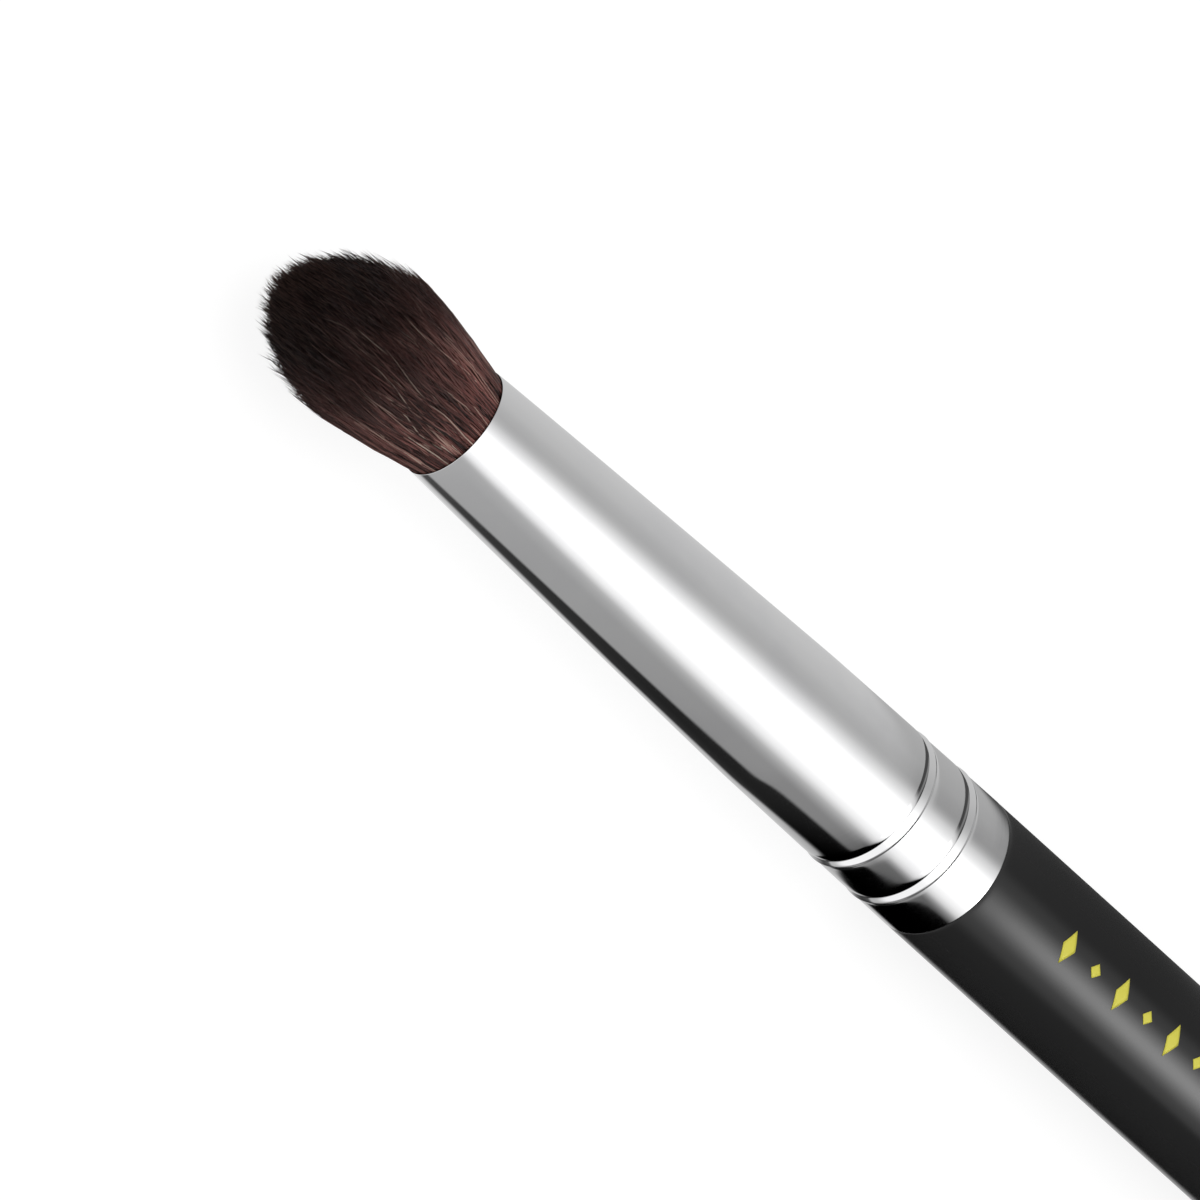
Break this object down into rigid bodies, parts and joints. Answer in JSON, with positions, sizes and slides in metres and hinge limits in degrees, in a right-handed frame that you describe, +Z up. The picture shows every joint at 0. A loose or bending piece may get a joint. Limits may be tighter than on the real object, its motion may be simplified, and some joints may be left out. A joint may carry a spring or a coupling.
{
  "type": "eyeshadow brush",
  "caption": "Round crease brush: tapered dark hair tuft, conical mirror-metal ferrule with rolled rings, and a glossy black turned handle.",
  "frame": {"origin": "bottom centre of the bounding box: below the middle of the brush's length, on the surface that it lies on", "axes": "+X along the brush from the tail to the tip of the hair, +Z up from the surface, +Y to the left of someone who looks along +X"},
  "size_m": [0.1754, 0.0102, 0.0103],
  "materials": {
    "hair": "matte",
    "thread": "matte",
    "epoxy": "gloss",
    "bright_metal": "polished",
    "joint_glue": "satin",
    "lacquered_wood": "gloss"
  },
  "bodies": {
    "root": {"hair_bundle": "hair", "root_binding": "thread", "resin_plug": "epoxy", "ferrule": "bright_metal", "tenon_glue": "joint_glue", "handle": "lacquered_wood"}
  },
  "joints": []
}
